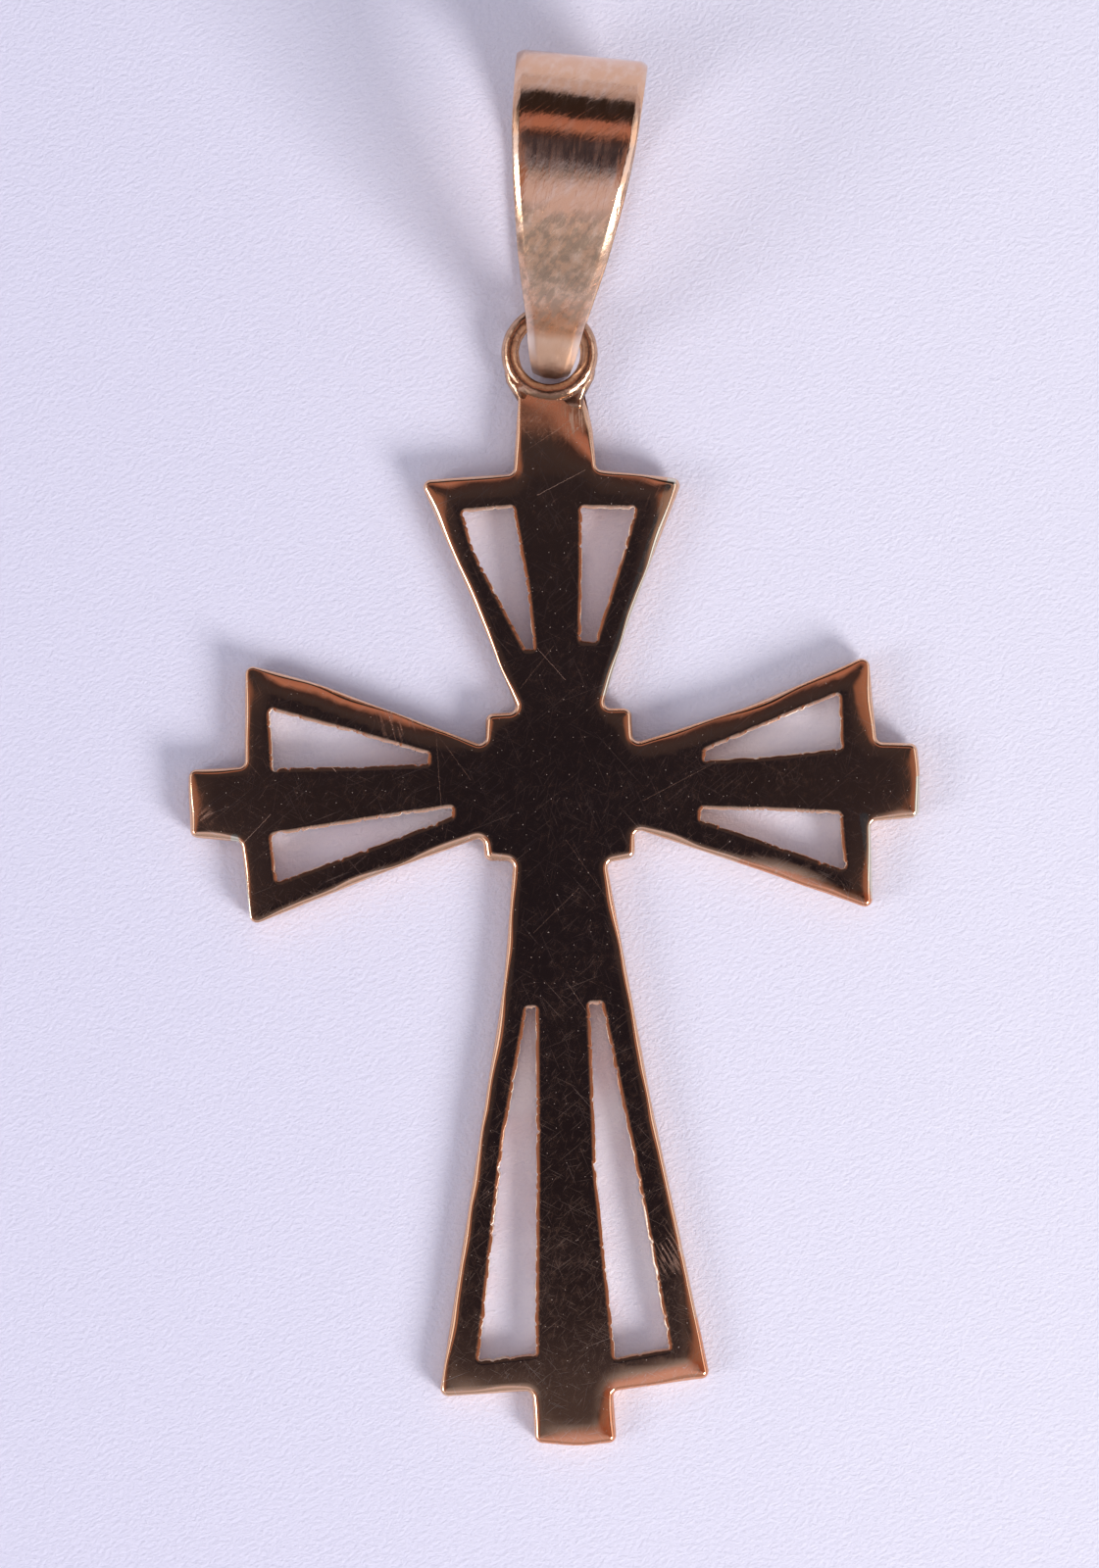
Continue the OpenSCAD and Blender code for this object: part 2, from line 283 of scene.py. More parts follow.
def inside(points, loops):
    """Even-odd test of many points against closed loops, with each point's distance to them."""
    p = np.array(points)
    odd = np.zeros(len(p), bool)
    near = np.full(len(p), 1e9)
    for loop in loops:
        a = np.array([(v.x, v.y) for v in loop])
        b = np.roll(a, -1, 0)
        for (ax, ay), (bx, by) in zip(a, b):
            if ay != by:
                crossing = (bx - ax) * (p[:, 1] - ay) / (by - ay) + ax
                odd ^= ((ay > p[:, 1]) != (by > p[:, 1])) & (p[:, 0] < crossing)
            ex, ey = bx - ax, by - ay
            long = max(ex * ex + ey * ey, 1e-12)
            t = np.clip(((p[:, 0] - ax) * ex + (p[:, 1] - ay) * ey) / long, 0, 1)
            near = np.minimum(near, np.hypot(p[:, 0] - ax - t * ex, p[:, 1] - ay - t * ey))
    return odd, near


SLIVER = 1e-3    # a triangle flatter than this is left out
ROW_HIGH = 0.87    # distance between the rows of the points inside, in spacings


def fill(loops, spacing=None, clear=0.1):
    """Triangles between closed loops, even-odd. Gives all points, loops first, and anticlockwise triangles.

    With a spacing, rows of points are laid inside, at least clear from the loops."""
    points, edges = [], []
    for loop in loops:
        first = len(points)
        points += [Vector((v.x, v.y)) for v in loop]
        edges += [(first + i, first + (i + 1) % len(loop)) for i in range(len(loop))]
    if spacing:
        xs = [v.x for v in points]
        ys = [v.y for v in points]
        grid = [(min(xs) + spacing * (i + 0.5 * (j % 2)), min(ys) + spacing * ROW_HIGH * j)
                for j in range(int((max(ys) - min(ys)) / spacing / ROW_HIGH) + 1)
                for i in range(int((max(xs) - min(xs)) / spacing) + 1)]
        odd, near = inside(grid, loops)
        points += [Vector(g) for g, o, d in zip(grid, odd, near) if o and d > clear]
    out, _, tris, origin, _, _ = delaunay_2d_cdt(points, edges, [], 0, 1e-7)
    mids = [tuple((out[a] + out[b] + out[c]) / 3) for a, b, c in tris]
    odd, _ = inside(mids, loops)
    back = []
    for point, sources in zip(out, origin):
        if not sources:
            sources = [len(points)]
            points.append(point)
        back.append(sources[0])
    kept = []
    for tri, o in zip(tris, odd):
        if o:
            a, b, c = (back[i] for i in tri)
            ab, ac = points[b] - points[a], points[c] - points[a]
            twice = ab.cross(ac)
            if abs(twice) > SLIVER * max(ab.length, ac.length) ** 2:
                kept.append((a, b, c) if twice > 0 else (a, c, b))
    return points, kept


# The cross
RIM_STEPS = 9
RIM_SHARE, RIM_WAVE = 0.66, 0.50    # the rim's radius and how much it changes, in RIM_R
GUARD = 0.40    # inset of the loop that ends the rim
SLOT_GUARD = 0.20    # and the same round a slot, for its broken edge
OUTLINE_STEP, SLOT_STEP, FACE_STEP = 0.14, 0.07, 0.30    # between samples of the outlines, and on the face
# The plate's back and side: [height, inset]
BACK_LEVELS = [(0, BACK_CHAMFER), (BACK_CHAMFER * 0.3, BACK_CHAMFER * 0.3), (BACK_CHAMFER, 0), (0.3, 0)]
# A slot's wall: [height, inset], and the broken edge above it: [fall, inset], in widths of that edge
SLOT_WALL = [(0, -0.03), (0.03, 0), (0.35, 0.004), (0.7, -0.004)]
SLOT_EDGE = [(1.2, -0.1), (0.35, -0.6), (0.0, -1.5)]
BROKEN, BROKEN_LEAST, BROKEN_WAVE = 0.006, 0.003, 0.022    # width of that edge
# What the saw left along a slot: depth and size of slow waves, of bites beyond a threshold, and of the grain
TOOTH, TOOTH_SIZE = 0.046, 0.42
BITE, BITE_SIZE, BITE_FROM = 0.22, 0.17, 0.20
GRAIN, GRAIN_SIZE = 0.012, 0.07
OVERCUT, OVERCUT_R = 0.06, 0.22    # cuts that ran past a corner
# What the file left along the outline: [depth, size, seed]
FILED = [(0.012, 1.3, 1.0), (0.004, 0.3, 2.0)]
# How flat the face is: [depth, size, seed]
PILLOWED = [(0.0022, 6.0, 3.1), (0.0005, 1.6, 7.7)]

# Places where the polishing has rolled the outer edge over more: [x, y, radius, fall of the edge]
ROLLED = [
    [11.6, 5.0, 3.4, 0.155], [7.4, 3.9, 3.0, 0.145], [4.6, 2.9, 2.0, 0.115], [13.0, 3.4, 1.6, 0.06],
    [12.9, -4.7, 1.5, 0.05], [9.5, -4.1, 2.4, 0.06], [14.4, 0.6, 1.6, 0.045], [14.3, -1.4, 1.2, 0.045],
    [-4.6, 12.6, 2.0, 0.13], [-2.4, 12.8, 1.4, 0.09], [4.9, 12.4, 1.8, 0.135], [3.0, 12.6, 1.4, 0.07],
    [-11.0, 4.9, 1.9, 0.145], [-8.6, 4.1, 2.8, 0.145], [-6.0, 3.4, 2.2, 0.12], [-15.0, -0.4, 1.4, 0.04],
    [4.4, -24.6, 1.9, 0.13], [2.6, -24.9, 1.6, 0.08], [5.2, -21.8, 2.0, 0.025], [0.2, -27.1, 1.6, 0.07],
    [1.8, -26.4, 1.4, 0.11], [-4.8, -24.8, 1.2, 0.022], [4.8, 9.6, 2.0, 0.04], [2.9, 3.1, 1.0, 0.06],
    [-3.0, 3.1, 1.0, 0.05], [-4.8, 9.8, 1.8, 0.02],
]
ROLL_WIDE, ROLL_POWER = 0.70, 1.22    # how far from the outline the face starts to fall, and how suddenly
ROLL_LEAST = 0.004    # fall of the edge between those places
ROLL_FADE, ROLL_END = 1.6, 4    # how fast a place fades with the squared distance, and where it ends
ROLL_WAVE, ROLL_LEAST_WAVE = 0.30, 0.8    # how unevenly the edges fall
SOFTEN = 0.30    # radius within which the distance from the outline is evened out
SOFTEN_POINTS, SOFTEN_START = 8, 0.4    # places on that circle, and the first one's angle
EDGE_PARTS = 5    # parts of each step of the outline for that distance

# The neck's face slopes down to the wire's crest, with one bend in its middle and a slanting one near the
# ring: where it lies, how steep it is and how soft the turn. Its right half falls to the side as well.
NECK_FROM, NECK_SLOPE, NECK_BEND = 14.15, 0.072, 0.20
NECK_END, NECK_END_SLOPE, NECK_END_BEND = 15.42, 0.27, 1.0
NECK_SLANT, NECK_WAVE = 0.36, 0.16
NECK_SIDE, NECK_SIDE_FROM, NECK_SIDE_SOFT = 0.26, -0.05, 0.85
NECK_START, NECK_END_IN, NECK_SIDE_IN = 12.55, (12.6, 14.2), (12.7, 15.0)    # where these set in along y

# Places where the slots' upper edge has been filed off more: [x, y, radius along y, width]
FILED_OFF = [[3.5, -18.0, 5.5, 0.050], [-2.9, -16.0, 5.0, 0.022], [9.5, 2.5, 2.5, 0.022],
             [2.6, 9.8, 2.0, 0.020]]
FILED_ACROSS = 0.9    # radius of such a place along x


def waves(x, y, rows):
    """Sum of waves of noise: [depth, size, seed]."""
    return sum(deep * wobble(x, y, size, seed) for deep, size, seed in rows)


def eased(x, low, high):
    """0 below low, 1 above high, smooth between."""
    t = min(max((x - low) / (high - low), 0.0), 1.0)
    return t * t * (3 - 2 * t)


def bend(t, soft):
    """0 well below 0 and t well above, with a soft turn between."""
    return 0.5 * (t + math.hypot(t, soft))


def face_z(x, y):
    """Height of the front face: almost flat, a little pillowed, and sloping down to the ring."""
    z = PLATE_T + waves(x, y, PILLOWED)
    if y > NECK_START:
        z -= NECK_SLOPE * bend(y - NECK_FROM, NECK_BEND)
        t = y - NECK_END + NECK_SLANT * x + NECK_WAVE * wobble(x, y, 0.7, 50.0)
        z -= NECK_END_SLOPE * bend(t, NECK_END_BEND) * eased(y, *NECK_END_IN)
        beside = max(x - NECK_SIDE_FROM, 0.0)
        z -= NECK_SIDE * (math.hypot(beside, NECK_SIDE_SOFT) - NECK_SIDE_SOFT) * eased(y, *NECK_SIDE_IN)
    return z


def roll(x, y):
    """Fall of the front face at the outline itself, near that point."""
    fall = (ROLL_LEAST * (1 + ROLL_LEAST_WAVE * wobble(x, y, 2.0, 15.0))) ** 2
    for px, py, wide, deep in ROLLED:
        near = ((x - px) ** 2 + (y - py) ** 2) / wide**2
        if near < ROLL_END:
            fall += (deep * math.exp(-ROLL_FADE * near) * (1 + ROLL_WAVE * wobble(x, y, 2.4, 25.0))) ** 2
    return math.sqrt(fall)


def fallen(points, depths):
    """Heights of the front at points that lie that deep inside the outline."""
    return [face_z(p.x, p.y) - roll(p.x, p.y) * max(0.0, 1 - d / ROLL_WIDE) ** ROLL_POWER
            for p, d in zip(points, depths)]


def laid(points, heights):
    return [plate_place(p.x, p.y, z) for p, z in zip(points, heights)]


class Depth:
    """Distance from the outline, evened out away from it so that no crease runs in from a corner."""

    def __init__(self, loop):
        pairs = zip(loop, loop[1:] + loop[:1])
        samples = [a.lerp(b, k / EDGE_PARTS) for a, b in pairs for k in range(EDGE_PARTS)]
        self.tree = KDTree(len(samples))
        for i, p in enumerate(samples):
            self.tree.insert((p.x, p.y, 0), i)
        self.tree.balance()
        angles = [SOFTEN_START + k * 2 * math.pi / SOFTEN_POINTS for k in range(SOFTEN_POINTS)]
        self.around = [(SOFTEN * math.cos(a), SOFTEN * math.sin(a)) for a in angles]

    def near(self, x, y):
        return self.tree.find((x, y, 0))[2]

    def at(self, p):
        d = self.near(p.x, p.y)
        if d > ROLL_WIDE + SOFTEN:
            return d
        even = sum(self.near(p.x + x, p.y + y) for x, y in self.around) / SOFTEN_POINTS
        return d + (even - d) * eased(d, 0.6 * SOFTEN, 1.4 * SOFTEN)

    def tops(self, points):
        """Heights of the front at any points inside."""
        return fallen(points, [self.at(p) for p in points])


def filed_off(x, y):
    return sum(w * math.exp(-((x - px) / FILED_ACROSS) ** 2 - ((y - py) / r) ** 2)
               * (1 + 0.6 * wobble(x, y, 0.22, 33.0)) for px, py, r, w in FILED_OFF)


def sawn(p, number, corners):
    """How far a slot's wall lies inside its outline at p. The corners are those that a cut may run past."""
    tooth = wobble(p.x, p.y, TOOTH_SIZE, 20.0 + number)
    bite = max(0.0, wobble(p.x, p.y, BITE_SIZE, 40.0 + number) - BITE_FROM)
    over = max(0.0, 1 - min((p - c).length for c in corners) / OVERCUT_R)
    return TOOTH * tooth - BITE * bite - OVERCUT * over + GRAIN * wobble(p.x, p.y, GRAIN_SIZE, 60.0)


def build_slot(made, row, number, depth):
    """A slot's sawn wall with nicks, and a hair of a chamfer at its upper edge.

    Gives the points of its lowest ring, its upper ring and the loop at which the face begins."""
    corners = slot_corners(row)
    slot = Outline(corners, SLOT_STEP)
    ends = [corners[k][0] for k in (2, 3, 0)]
    plain = slot.at(0)
    nick = [sawn(p, number, ends) for p in plain]
    edge = [BROKEN + BROKEN_WAVE * wobble(p.x, p.y, 0.7, 70.0 + number) + filed_off(p.x, p.y) for p in plain]
    edge = [max(BROKEN_LEAST, wide) for wide in edge]
    rings = []
    for z, inset in SLOT_WALL:
        points = slot.at([inset + k for k in nick])
        rings.append(made.ring(laid(points, [z] * len(points))))
    for fall, inset in SLOT_EDGE:
        points = slot.at([inset * b + k for k, b in zip(nick, edge)])
        heights = [z - fall * b for z, b in zip(depth.tops(points), edge)]
        rings.append(made.ring(laid(points, heights)))
    made.bands(rings, mat=1, flip=True)
    return slot.at([SLOT_WALL[0][1] + k for k in nick]), rings[-1], slot.at(-SLOT_GUARD)


def build_plate(materials):
    made = Builder()
    outer = Outline(plate_corners(), OUTLINE_STEP)
    plain = outer.at(0)
    filed = [waves(p.x, p.y, FILED) for p in plain]
    rim = [RIM_R * (RIM_SHARE + RIM_WAVE * wobble(p.x, p.y, 1.9, 5.0)) for p in plain]
    depth = Depth(plain)
    rings = []
    for z, inset in BACK_LEVELS:
        points = outer.at([inset + f for f in filed])
        rings.append(made.ring(laid(points, [z] * len(points))))
    for k in range(RIM_STEPS + 1):
        a = math.pi / 2 * k / RIM_STEPS
        deep = [f + r * (1 - math.cos(a)) for f, r in zip(filed, rim)]
        points = outer.at(deep)
        heights = [z - r * (1 - math.sin(a)) for z, r in zip(fallen(points, deep), rim)]
        rings.append(made.ring(laid(points, heights)))
    made.bands(rings)
    floors, uppers, loops = zip(*[build_slot(made, row, number, depth) for number, row in enumerate(SLOTS)])
    guard = outer.at(GUARD)
    # The face between the guard loops, and the bands that join it to rim and slots
    points, tris = fill([guard, *loops], spacing=FACE_STEP, clear=0.10)
    flat = made.ring(laid(points, depth.tops(points)))
    for t in tris:
        made.face(tuple(flat[i] for i in t))
    first = len(guard)
    made.band(rings[-1], flat[:first])
    for upper, loop in zip(uppers, loops):
        made.band(upper, flat[first:first + len(loop)], flip=True)
        first += len(loop)
    # The back
    points, tris = fill([outer.at([BACK_CHAMFER + f for f in filed]), *floors])
    back = made.ring(laid(points, [0] * len(points)))
    for a, b, c in tris:
        made.face((back[a], back[c], back[b]))
    return made.object("cross_front", materials, merge=2e-8)


RING_STEPS, WIRE_STEPS = 200, 36
RING_WAVE, WIRE_WAVE = 0.012, 0.010    # how much the ring's and the wire's radius change


def build_ring(materials):
    made = Builder()
    rings = []
    for i in range(RING_STEPS):
        t = 2 * math.pi * i / RING_STEPS
        grow = RING_WAVE * wobble(math.cos(t) * 3, math.sin(t) * 3, 1.1, 9.0)
        ring = []
        for j in range(WIRE_STEPS):
            v = 2 * math.pi * j / WIRE_STEPS
            wire = WIRE_R + WIRE_WAVE * wobble(t * 4, v * 0.8, 0.8, 11.0)
            r = RING_R + grow + wire * math.cos(v)
            up = PLATE_T / 2 + wire * math.sin(v)
            ring.append(plate_place(r * math.cos(t), RING_Y + r * math.sin(t), up))
        rings.append(made.ring(ring))
    made.bands(rings + rings[:1], flip=True)
    return made.object("ring_wire", materials)


SOLDER_EDGE = 0.28    # from the solder's outline to its full height
SOLDER_OVER = 0.004    # how far it stands over the wire
SOLDER_UNDER = 0.012   # and how far it stays under the face and the wire in the middle
SOLDER_LEAST = 0.16    # its least height there
SOLDER_STEP, SOLDER_GRID, SOLDER_WAVE = 0.05, 0.07, 0.004
# Where, from the ring's centre, it gets lower to the right and beside the ring, and comes out of the wire
RIGHT_X, RIGHT_DOWN = (0.3, 0.9), 0.05
BESIDE_X, BESIDE_Y, BESIDE_DOWN = (1.1, 1.6), (-2.2, -1.0), 0.10
UP_X, UP_Y = (0.85, 1.40), (-2.1, -1.3)


def solder_height(p):
    """Height of the solder over the middle of the wire: lower to the right and beside the ring."""
    y = p.y - RING_Y
    high = WIRE_R + SOLDER_OVER - RIGHT_DOWN * eased(p.x, *RIGHT_X)
    high -= BESIDE_DOWN * eased(abs(p.x), *BESIDE_X) * eased(y, *BESIDE_Y)
    wire_top = math.sqrt(max(0.0, WIRE_R**2 - (math.hypot(p.x, y) - RING_R) ** 2))
    under = max(face_z(p.x, p.y) - PLATE_T / 2, wire_top, SOLDER_LEAST) - SOLDER_UNDER
    return min(high, under + max(0.0, high - under) * eased(abs(p.x), *UP_X) * eased(y, *UP_Y))


def build_solder(materials):
    """The solder on both sides of the neck's end: a smooth pillow about the middle of the wire."""
    made = Builder()
    corners = anticlockwise([(Vector((x, RING_Y + y)), R_SOLDER) for x, y in SOLDER])
    edge = Outline(corners, SOLDER_STEP).at(0)
    points, tris = fill([edge], spacing=SOLDER_GRID, clear=0.03)
    _, near = inside([tuple(p) for p in points], [edge])
    bulge = [0] * len(edge)
    for p, d in list(zip(points, near))[len(edge):]:
        share = min(d / SOLDER_EDGE, 1)
        rise = solder_height(p) * math.sqrt(max(0, 1 - (1 - share) ** 2))
        bulge.append(rise + SOLDER_WAVE * wobble(p.x, p.y, 0.5, 4.0))
    from_hole = [math.hypot(p.x, p.y - RING_Y) for p in points]
    kept = [t for t in tris if max(from_hole[i] for i in t) >= RING_R]
    for sign in (1, -1):
        part = made.ring([plate_place(p.x, p.y, PLATE_T / 2 + sign * b) for p, b in zip(points, bulge)])
        for t in kept:
            made.face(tuple(part[i] for i in (t if sign > 0 else (t[0], t[2], t[1]))))
    return made.object("solder", materials)


# The bail
PATH_STEP, END_STEP = 0.12, 0.05    # between the strip's sections along the loop, and at its closed end
EDGE_HIGH, EDGE_WIDE = 0.175, 0.30   # height and width of the strip's polished edges
EDGE_POWER = 1.66    # flattens the quarter turn of an edge towards a chamfer
EDGE_STEPS, FLAT_STEPS = 10, 10    # steps over an edge, and across the outer and the inner face between
STRIP_WAVE, STRIP_RIPPLE = 0.022, 0.005    # depth of the strip's unevenness, coarse and fine


def strip_half(along):
    """Half the strip's width at a distance from the closed end, from a smooth curve through the table."""
    if along <= 0:
        return STRIP[0][1]
    for i in range(len(STRIP) - 1):
        (x0, w0), (x1, w1) = STRIP[i:i + 2]
        if along <= x1:
            behind, after = STRIP[max(i - 1, 0)], STRIP[min(i + 2, len(STRIP) - 1)]
            m0 = (w1 - behind[1]) / max(x1 - behind[0], 1e-6)
            m1 = (after[1] - w0) / max(after[0] - x0, 1e-6)
            h = x1 - x0
            t = (along - x0) / h
            return ((2 * t**3 - 3 * t**2 + 1) * w0 + (t**3 - 2 * t**2 + t) * h * m0
                    + (-2 * t**3 + 3 * t**2) * w1 + (t**3 - t**2) * h * m1)
    return STRIP_HALF


def loop_path():
    """The loop's outer side as (point, outward direction), from the closed end's underside to its front."""
    path = []

    def arc(centre, r, start, stop, step=PATH_STEP):
        n = max(2, math.ceil(abs(rad(stop - start)) * r / step))
        for i in range(n):
            a = rad(start + (stop - start) * i / n)
            d = Vector((math.cos(a), math.sin(a)))
            path.append((centre + r * d, d))

    def line(a, b, d):
        n = max(1, math.ceil((b - a).length / PATH_STEP))
        for i in range(n):
            path.append((a.lerp(b, i / n), d))

    line(Vector((end_c.x, 0)), Vector((back_c.x, 0)), Vector((0, -1)))
    arc(back_c, BACK_R, -90, 0)
    arc(top_c, TOP_R, 0, 90)
    arc(front_c, FRONT_R, 90, 90 + FRONT_SLOPE)
    line(leaf_start, end_c + END_R * leaf_out, leaf_out)
    arc(end_c, END_R, 90 + FRONT_SLOPE, 270, END_STEP)
    return path


def section_edges():
    """The strip's edges, outer right, inner right, inner left and outer left, as (depth, side, inset)."""
    def bow(v):
        return math.copysign(abs(v) ** EDGE_POWER, v)

    edges = []
    for depth, side, start in ((0, 1, 90), (STRIP_T, 1, 0), (STRIP_T, -1, -90), (0, -1, 180)):
        middle = STRIP_T - EDGE_HIGH if depth else EDGE_HIGH
        turns = [rad(start - 90 * k / EDGE_STEPS) for k in range(EDGE_STEPS + 1)]
        edges.append([(middle - EDGE_HIGH * bow(math.sin(a)), side, EDGE_WIDE * (1 - abs(bow(math.cos(a)))))
                      for a in turns])
    return edges


def build_bail(materials):
    made = Builder()
    right_out, right_in, left_in, left_out = section_edges()

    def ring_at(p, d):
        """The strip's section at a point of the loop, with outward direction d."""
        ring = []

        def half_at(depth, inset):
            return strip_half((p - d * depth).x - LOOP_END) - inset

        def add(depth, across):
            q = p - d * depth
            lift = STRIP_WAVE * wobble(across, q.x + q.y * 0.7, 1.9, 2.0)
            lift += STRIP_RIPPLE * wobble(across, q.x - q.y, 0.6, 3.0)
            q = q + d * lift
            ring.append(bail_place(across, q.x - LOOP_END, max(q.y, 0.0)))

        def add_edges(*edges):
            for depth, side, inset in sum(edges, []):
                add(depth, side * half_at(depth, inset))

        def add_flat(depth, side):
            wide = side * half_at(depth, EDGE_WIDE)
            for k in range(1, FLAT_STEPS):
                add(depth, wide * (1 - 2 * k / FLAT_STEPS))

        add_edges(right_out, right_in)
        add_flat(STRIP_T, 1)
        add_edges(left_in, left_out)
        add_flat(0, -1)
        return ring

    rings = [made.ring(ring_at(p, d)) for p, d in loop_path()]
    made.bands(rings + rings[:1])
    return made.object("bail_strip", materials)


# Materials
class Nodes:
    """Short names for building a node tree."""

    def __init__(self, tree):
        self.tree = tree
        tree.nodes.clear()

    def new(self, kind, inputs=None, **props):
        """A node. Its inputs, by name or number, are linked to a socket or set to a value."""
        n = self.tree.nodes.new(kind)
        for k, v in props.items():
            setattr(n, k, v)
        for k, v in (inputs or {}).items():
            if isinstance(v, bpy.types.NodeSocket):
                self.tree.links.new(v, n.inputs[k])
            elif v is not None:
                n.inputs[k].default_value = v
        return n

    def math(self, op, a, b=None, clamp=False):
        return self.new("ShaderNodeMath", {0: a, 1: b}, operation=op, use_clamp=clamp).outputs[0]

    def less(self, a, b):
        """a without b, and not below 0."""
        return self.math("SUBTRACT", a, b, clamp=True)

    def times(self, a, b):
        return self.math("MULTIPLY", a, b)

    def most(self, a, b):
        return self.math("MAXIMUM", a, b)

    def total(self, start, *shares, clamp=False):
        """start and each value times its share."""
        for value, share in shares:
            start = self.math("ADD", start, self.times(value, share), clamp)
        return start

    def vec(self, op, a, b=None, scale=None):
        n = self.new("ShaderNodeVectorMath", {0: a, 1: b, "Scale": scale}, operation=op)
        return n.outputs["Value" if op in ("DOT_PRODUCT", "LENGTH", "DISTANCE") else "Vector"]

    def split(self, vector):
        return tuple(self.new("ShaderNodeSeparateXYZ", {0: vector}).outputs)

    def span(self, value, a, b, c=0.0, d=1.0):
        """c where the value is a, d where it is b, smooth between."""
        inputs = {"Value": value, "From Min": a, "From Max": b, "To Min": c, "To Max": d}
        return self.new("ShaderNodeMapRange", inputs, interpolation_type="SMOOTHSTEP").outputs["Result"]

    def fade(self, value, a, b):
        """1 up to a, 0 from b on."""
        return self.span(value, a, b, 1.0, 0.0)

    def noise(self, vector, scale, detail=2.0, rough=0.5, output="Fac"):
        inputs = {"Vector": vector, "Scale": scale, "Detail": detail, "Roughness": rough}
        return self.new("ShaderNodeTexNoise", inputs).outputs[output]

    def cells(self, vector, size):
        """The nodes of a field of cells: the texture itself and its random colour's three parts."""
        v = self.new("ShaderNodeTexVoronoi", {"Vector": vector, "Scale": 1 / size}, feature="F1",
                     voronoi_dimensions="2D")
        return v, tuple(self.new("ShaderNodeSeparateColor", {0: v.outputs["Color"]}).outputs)

    def mix(self, fac, a, b):
        return self.new("ShaderNodeMix", {"Factor": fac, 6: a, 7: b}, data_type="RGBA").outputs[2]

    def bump(self, height, strength, far):
        """A bent normal. far is the distance in metres that a height of 1 stands for."""
        inputs = {"Strength": strength, "Distance": far, "Height": height}
        return self.new("ShaderNodeBump", inputs).outputs[0]

    def mapping(self, vector, turn=0.0, scale=(1, 1, 1), kind="POINT"):
        inputs = {"Vector": vector, "Rotation": (0, 0, rad(turn)), "Scale": scale}
        return self.new("ShaderNodeMapping", inputs, vector_type=kind).outputs["Vector"]

    def stretched(self, mm, turn, along, across):
        """Coordinates for features that run in the direction turn, given in features for each millimetre."""
        return self.mapping(mm, turn, (1 / along, 1 / across, 1), "TEXTURE")

    def scratches(self, mm, turn, along, across, least):
        """Thin streaks that run in the direction turn, fewer for a higher least."""
        streaks = self.noise(self.stretched(mm, turn, along, across), 1.0, 1.0, 0.4)
        return self.span(streaks, least, least + 0.10)

    def millimetres(self):
        """Object coordinates in millimetres."""
        return self.vec("SCALE", self.new("ShaderNodeTexCoord").outputs["Object"], scale=1 / MM)

    def hairlines(self, mm, cell, wide, share, seed):
        """Short straight scratches, one in each of a share of the cells, each at its own angle."""
        shifted = self.vec("ADD", mm, (seed * 3.7, seed * 1.9, 0.0))
        flat = self.vec("MULTIPLY", shifted, (1, 1, 0))
        field, (angle, chance, strength) = self.cells(flat, cell)
        spot = self.vec("SUBTRACT", flat, field.outputs["Position"])
        turned = self.new("ShaderNodeVectorRotate", {"Vector": spot, "Angle": self.times(angle, 2 * math.pi)},
                          rotation_type="Z_AXIS")
        along, across, _ = self.split(turned.outputs[0])
        line = self.fade(self.math("ABSOLUTE", across), 0.0, wide)
        ends = self.fade(self.math("ABSOLUTE", along), 0.28 * cell, 0.42 * cell)
        weight = self.times(strength, self.math("LESS_THAN", chance, share))
        return self.times(self.times(line, ends), weight)

    def bent(self, mm, far):
        """Coordinates shifted about a little, so that what is drawn in them is irregular."""
        shift = self.vec("SUBTRACT", self.noise(mm, 9.0, output="Color"), (0.5, 0.5, 0.5))
        return self.vec("ADD", mm, self.vec("SCALE", shift, scale=2 * far))

    def specks(self, mm, cell, size, share):
        """Small round dots, one in each of a share of the cells."""
        field, (_, chance, _) = self.cells(mm, cell)
        spot = self.fade(field.outputs["Distance"], 0.0, size / cell)
        return self.times(spot, self.math("LESS_THAN", chance, share))

    def stroke(self, mm, a, b, wide):
        """A mark along the line from a to b, both in millimetres in the row frame."""
        a, b = Vector((*a, 0)), Vector((*b, 0))
        ba = b - a
        pa = self.vec("SUBTRACT", self.vec("MULTIPLY", mm, (1, 1, 0)), tuple(a))
        h = self.math("DIVIDE", self.vec("DOT_PRODUCT", pa, tuple(ba)), ba.length_squared, clamp=True)
        away = self.vec("SUBTRACT", pa, self.vec("SCALE", tuple(ba), scale=h))
        return self.fade(self.vec("LENGTH", away), 0.0, wide)

    def strokes(self, mm, bent, rows, wider=1.0):
        """The strongest of several uneven marks: [x0, y0, x1, y1, width] and perhaps a strength."""
        most = 0.0
        for x0, y0, x1, y1, wide, *strong in rows:
            mark = self.stroke(self.bent(mm, bent), (x0, y0), (x1, y1), wider * wide)
            most = self.most(most, self.times(mark, strong[0]) if strong else mark)
        return most


def new_material(name):
    m = bpy.data.materials.new(name)
    m.use_nodes = True
    return m, Nodes(m.node_tree)


def finish(n, colour, rough, normal, metal=1.0, specular=None):
    s = n.new("ShaderNodeBsdfPrincipled", {"Base Color": colour, "Metallic": metal, "Roughness": rough,
                                           "Normal": normal, "Specular IOR Level": specular})
    n.new("ShaderNodeOutputMaterial", {"Surface": s.outputs[0]})


